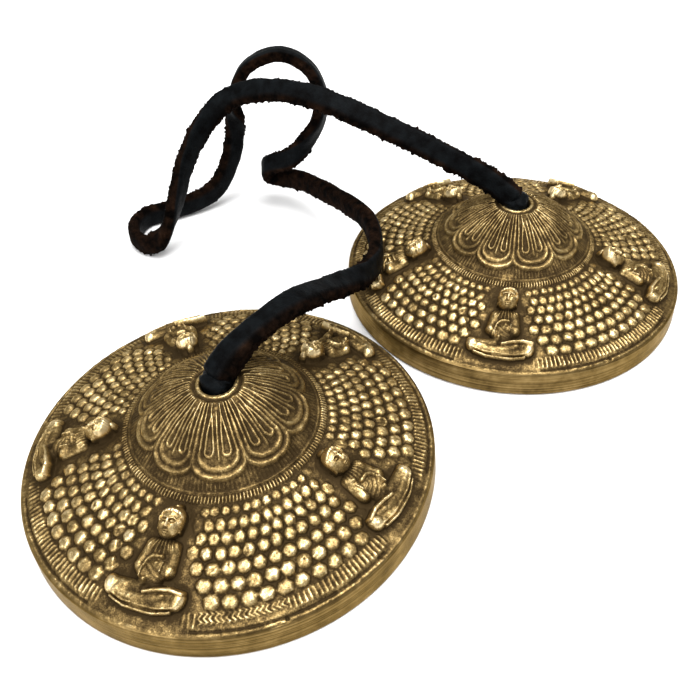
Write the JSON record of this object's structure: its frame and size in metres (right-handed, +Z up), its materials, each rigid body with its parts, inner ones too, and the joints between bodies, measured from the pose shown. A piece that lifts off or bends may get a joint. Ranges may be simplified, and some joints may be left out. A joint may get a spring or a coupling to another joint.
{
  "type": "finger cymbals",
  "caption": "Pair of thick domed bronze finger cymbals with petals, beads and seated figures in relief, joined by a leather thong knotted under each dome.",
  "frame": {"origin": "bottom centre of the two cymbals' common box, on the surface they stand on", "axes": "+Z up along both cymbals' own axes; +X to the right and +Y away from a viewer who has the front cymbal at the lower left"},
  "size_m": [0.1228, 0.1238, 0.0356],
  "materials": {
    "bronze": "cast bronze, dark brown patina in the recesses, worn bright on the high points, rim band turned and finely scratched",
    "thong_leather": "black-dyed leather strap, smooth grain on one side, brown fuzzy flesh on the other and on the cut edges"
  },
  "bodies": {
    "thong": {"thong": "thong_leather"},
    "front_knot": {"front_thong_knot": "thong_leather"},
    "front_cymbal": {"front_cymbal": "bronze"},
    "back_knot": {"back_thong_knot": "thong_leather"},
    "back_cymbal": {"back_cymbal": "bronze"}
  },
  "joints": [
    {"name": "front_tilt", "type": "hinge", "parent": "thong", "child": "front_knot", "pos_m": [-0.02744, -0.02242, 0.0193], "axis": [-0.7659, 0.6429, 0], "range_deg": [-6, 60]},
    {"name": "front_spin", "type": "hinge", "parent": "front_knot", "child": "front_cymbal", "pos_m": [-0.02744, -0.02242, 0.0193], "axis": [0, 0, 1], "continuous": true},
    {"name": "back_tilt", "type": "hinge", "parent": "thong", "child": "back_knot", "pos_m": [0.02744, 0.02242, 0.0193], "axis": [-0.4226, -0.9063, 0], "range_deg": [0, 60]},
    {"name": "back_spin", "type": "hinge", "parent": "back_knot", "child": "back_cymbal", "pos_m": [0.02744, 0.02242, 0.0193], "axis": [0, 0, 1], "continuous": true}
  ]
}
